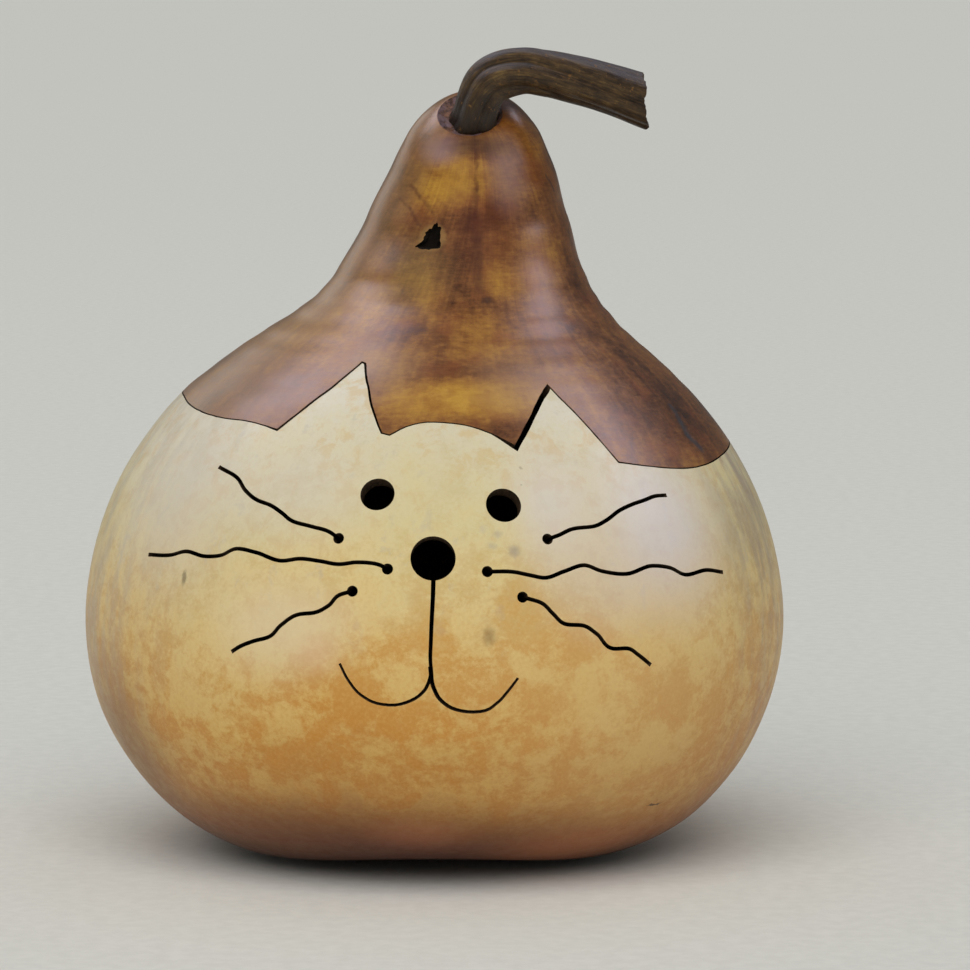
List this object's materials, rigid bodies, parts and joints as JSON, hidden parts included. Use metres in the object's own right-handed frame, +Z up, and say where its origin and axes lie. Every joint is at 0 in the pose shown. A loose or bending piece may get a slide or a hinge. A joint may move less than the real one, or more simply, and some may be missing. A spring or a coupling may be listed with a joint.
{
  "type": "dried bottle gourd",
  "caption": "Hollow dried bottle gourd sawn into a bowl and a lift-off lid with its stem, the bowl pierced with a simple cat's face.",
  "frame": {"origin": "middle of the bounding box at its lowest height, where the three worn lobes of the base stand", "axes": "+Z up through the lid, -Y out of the carved face, +X to the right as the face is seen"},
  "size_m": [0.2503, 0.2503, 0.2875],
  "materials": {
    "natural_shell": "dried gourd shell, mottled cream to tan, with a soft wax sheen",
    "stained_shell": "dried gourd shell, stained brown and polished",
    "dry_stem": "dry ribbed stem, dark and unfinished"
  },
  "bodies": {
    "root": {"gourd_bowl": "natural_shell", "gourd_lid": "stained_shell", "stem": "dry_stem"}
  },
  "joints": []
}
